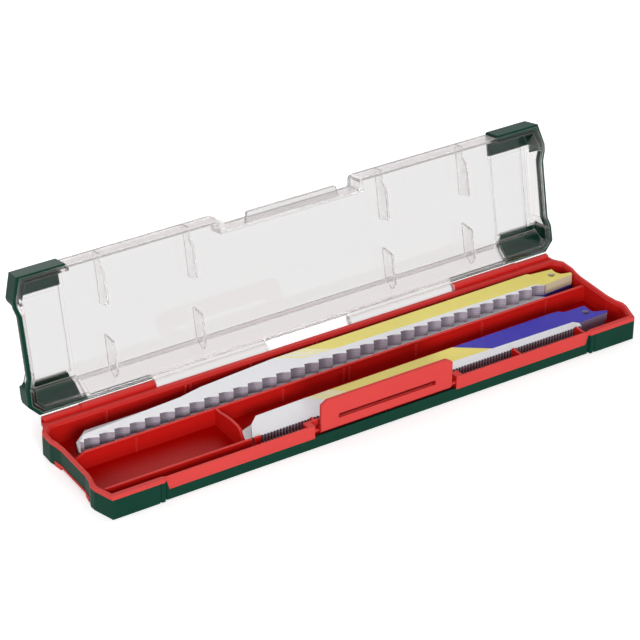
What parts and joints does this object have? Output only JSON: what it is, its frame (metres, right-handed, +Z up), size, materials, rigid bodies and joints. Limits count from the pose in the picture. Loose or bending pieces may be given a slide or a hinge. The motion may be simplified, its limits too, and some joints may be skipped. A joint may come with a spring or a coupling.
{
  "type": "saw blade storage case",
  "caption": "Long flat case for reciprocating saw blades, with a clear hinged lid, soft corner bumpers, a front flap latch and divided compartments holding blades.",
  "frame": {"origin": "centre of the flat underside of the closed case", "axes": "+X along the case to the right, +Y from the latch to the hinge, +Z up"},
  "size_m": [0.3216, 0.1037, 0.0871],
  "materials": {
    "red_plastic": "satin",
    "green_soft": "matte",
    "clear_plastic": "clear",
    "blade_steel": "painted"
  },
  "bodies": {
    "case": {"base_tray": "red_plastic", "base_bumper": "green_soft", "wood_blade_long_1": "blade_steel", "wood_blade_long_2": "blade_steel", "wood_blade_long_3": "blade_steel", "wood_blade_long_4": "blade_steel", "wood_blade_long_5": "blade_steel", "metal_blade_long_1": "blade_steel", "metal_blade_long_2": "blade_steel", "metal_blade_long_3": "blade_steel", "metal_blade_long_4": "blade_steel", "metal_blade_long_5": "blade_steel", "combi_blade_short_1": "blade_steel", "combi_blade_short_2": "blade_steel", "combi_blade_short_3": "blade_steel", "combi_blade_short_4": "blade_steel", "combi_blade_short_5": "blade_steel", "spare_blade_short_1": "blade_steel", "spare_blade_short_2": "blade_steel", "spare_blade_short_3": "blade_steel", "spare_blade_short_4": "blade_steel", "spare_blade_short_5": "blade_steel"},
    "lid": {"lid_shell": "clear_plastic", "lid_bumper_left": "green_soft", "lid_bumper_right": "green_soft"},
    "latch": {"latch": "red_plastic"}
  },
  "joints": [
    {"name": "lid_hinge", "type": "hinge", "parent": "case", "child": "lid", "pos_m": [0, 0.039, 0.0134], "axis": [1, 0, 0], "range_deg": [0, 102.4]},
    {"name": "latch_hinge", "type": "hinge", "parent": "case", "child": "latch", "pos_m": [0, -0.0336, 0.0093], "axis": [1, 0, 0], "range_deg": [-5, 75]}
  ]
}
